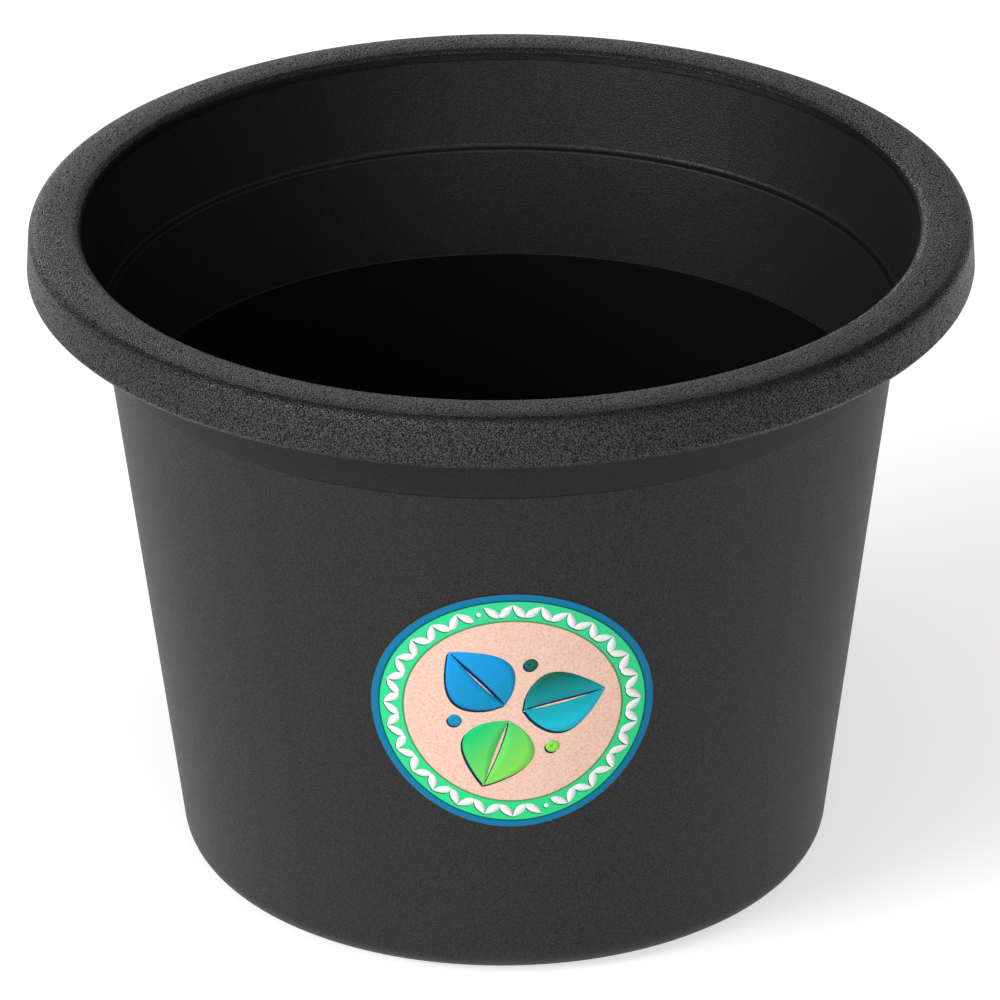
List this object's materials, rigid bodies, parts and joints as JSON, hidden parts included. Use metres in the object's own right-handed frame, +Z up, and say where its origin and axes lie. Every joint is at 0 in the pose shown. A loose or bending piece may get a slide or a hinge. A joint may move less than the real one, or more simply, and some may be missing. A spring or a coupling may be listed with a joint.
{
  "type": "florist bucket",
  "caption": "Round tapered plastic bucket with a wide down-turned rim, a shoulder below the rim and a round label on the front, for holding cut flowers in water.",
  "frame": {"origin": "centre of the foot, on the surface that the bucket stands on", "axes": "+Z up along the bucket's axis, -Y out through the label's centre, +X to the right of the label"},
  "size_m": [0.26, 0.26, 0.1882],
  "materials": {
    "bucket_plastic": "satin black, fine moulded grain outside and on the upper inside, smooth lower inside",
    "label_paper": "printed kraft paper label, satin"
  },
  "bodies": {
    "root": {"bucket": "bucket_plastic", "label": "label_paper"}
  },
  "joints": []
}
